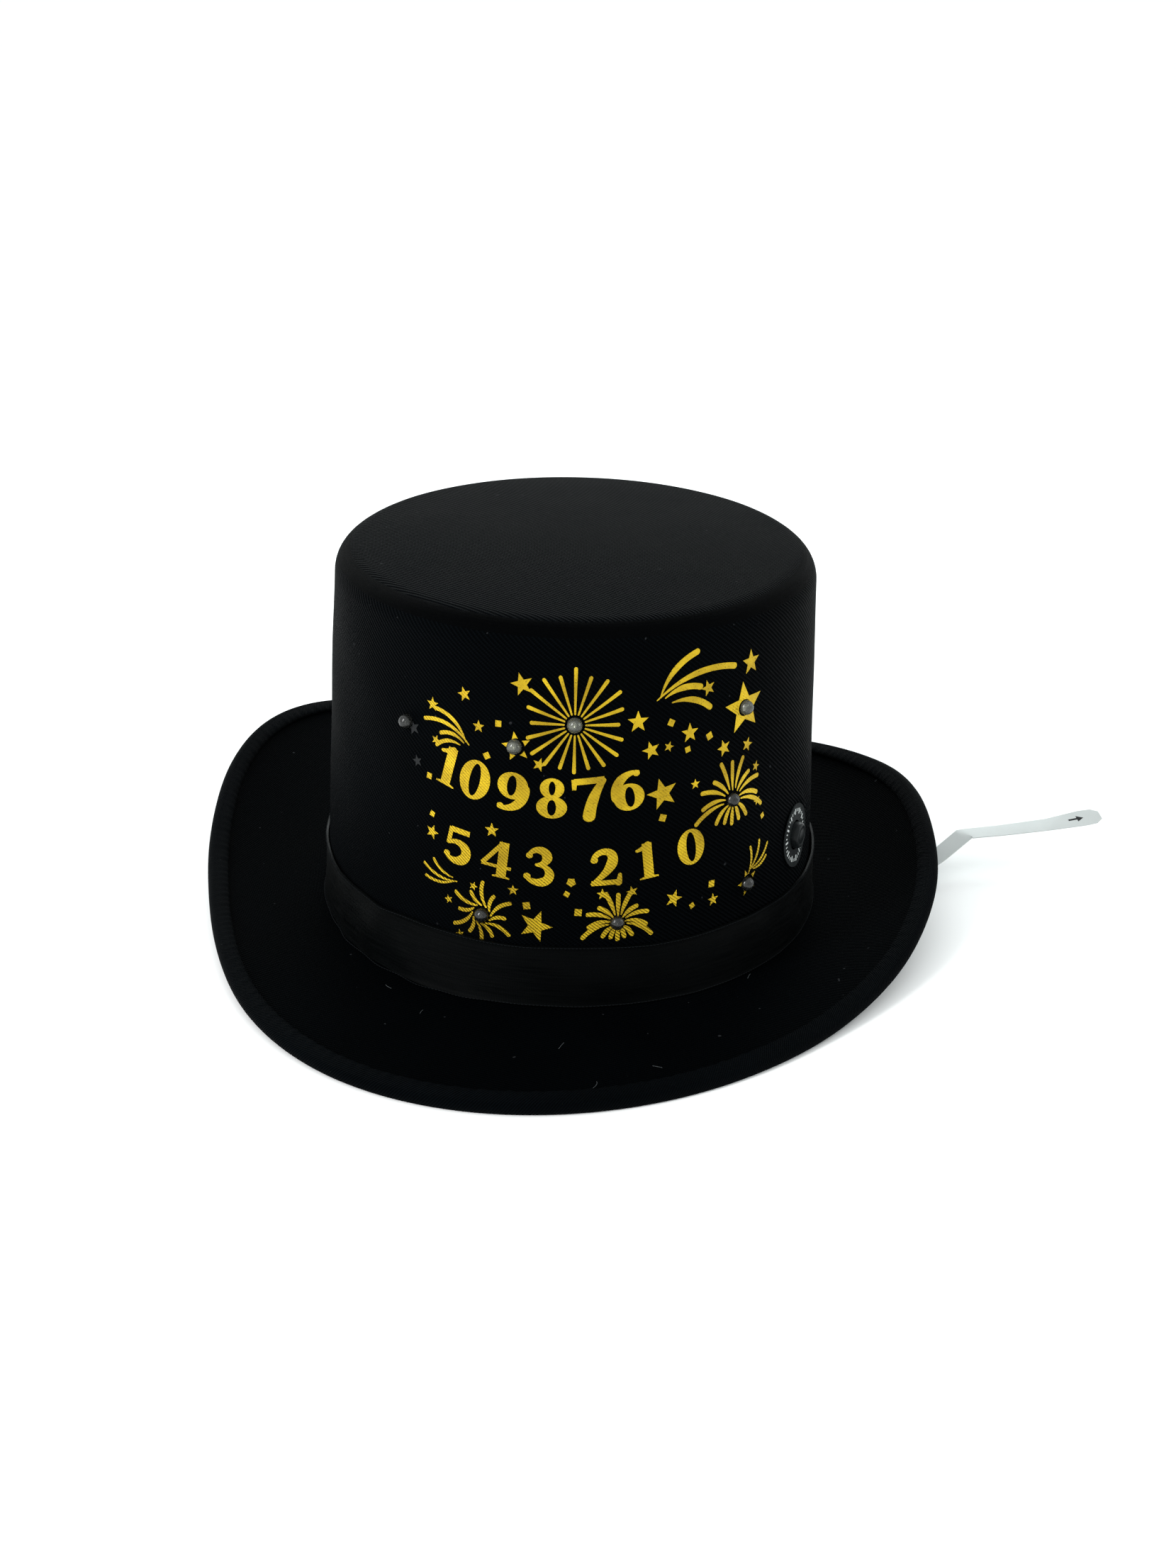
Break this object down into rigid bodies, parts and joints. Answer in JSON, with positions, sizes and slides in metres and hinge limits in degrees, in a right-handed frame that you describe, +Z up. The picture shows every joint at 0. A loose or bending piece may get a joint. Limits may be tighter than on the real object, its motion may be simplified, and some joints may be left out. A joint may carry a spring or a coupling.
{
  "type": "party hat",
  "caption": "Black cloth top hat for New Year parties: curled bound brim, satin band, gold printed front with small lamps, press switch, battery box inside and a pull tab.",
  "frame": {"origin": "centre of the head opening, on the surface that the brim rests on", "axes": "+Z up through the crown, -Y out of the printed front, +X towards the side with the press switch"},
  "size_m": [0.3447, 0.3375, 0.1405],
  "materials": {
    "black_cloth": "black satin-faced twill over foam, fine diagonal weave",
    "binding_cloth": "folded black binding tape",
    "foam_core": "moulded black foam sheet",
    "lining_cloth": "thin black knitted lining",
    "black_satin": "black satin ribbon",
    "sweatband_cloth": "black ribbed tape",
    "label_film": "grey printed plastic film",
    "button_plastic": "grey moulded plastic",
    "box_plastic": "black moulded plastic",
    "clear_lens": "water-clear epoxy lamp lens",
    "steel": "plated steel screw",
    "nickel_plate": "nickel plate",
    "circuit_green": "green solder mask",
    "chip_resin": "black resin",
    "wire_red": "red wire insulation",
    "wire_black": "black wire insulation",
    "pad_foam": "white double-sided foam pad",
    "tab_film": "milky polyester film",
    "gold_print": "gold foil printed on the cloth"
  },
  "bodies": {
    "hat": {"crown_cover": "black_cloth", "brim_top_cloth": "black_cloth", "brim_under_cloth": "black_cloth", "brim_binding": "binding_cloth", "crown_shell": "foam_core", "brim_core": "foam_core", "crown_lining": "lining_cloth", "hat_band": "black_satin", "hat_band_lap": "black_satin", "sweatband": "sweatband_cloth", "press_label": "label_film", "battery_box": "box_plastic", "switch_body": "box_plastic", "led_1": "clear_lens", "led_2": "clear_lens", "led_3": "clear_lens", "led_4": "clear_lens", "led_5": "clear_lens", "led_6": "clear_lens", "led_7": "clear_lens", "led_8": "clear_lens", "button_cell_1": "nickel_plate", "button_cell_2": "nickel_plate", "button_cell_3": "nickel_plate", "contact_spring": "nickel_plate", "contact_strap_inner": "nickel_plate", "contact_strap_outer": "nickel_plate", "contact_leaf": "nickel_plate", "circuit_board": "circuit_green", "control_chip": "chip_resin", "harness_red": "wire_red", "harness_black": "wire_black", "adhesive_pad": "pad_foam"},
    "press_button": {"button_cap": "button_plastic", "switch_stem": "button_plastic"},
    "battery_door": {"battery_cover": "box_plastic", "cover_screw": "steel"},
    "pull_strip": {"pull_tab_strip": "tab_film"},
    "pull_tongue": {"pull_tab_tongue": "tab_film"}
  },
  "joints": [
    {"name": "button_press", "type": "slide", "parent": "hat", "child": "press_button", "axis": [-0.9108, 0.4128, 0], "range_m": [0, 0.001], "stiffness_N_per_m": 1500, "springref_m": -0.0003},
    {"name": "battery_cover_off", "type": "slide", "parent": "hat", "child": "battery_door", "axis": [-0.9108, 0.4128, 0], "range_m": [0, 0.015]},
    {"name": "tab_pull", "type": "slide", "parent": "hat", "child": "pull_strip", "axis": [0.8505, 0.5259, 0], "range_m": [0, 0.012]},
    {"name": "tab_tongue_run", "type": "slide", "parent": "pull_strip", "child": "pull_tongue", "axis": [-0.6014, -0.3719, -0.7071], "range_m": [0, 0.017]}
  ],
  "couplings": [
    {"joint": "tab_tongue_run", "follows": "tab_pull", "ratio": 1.4142}
  ]
}
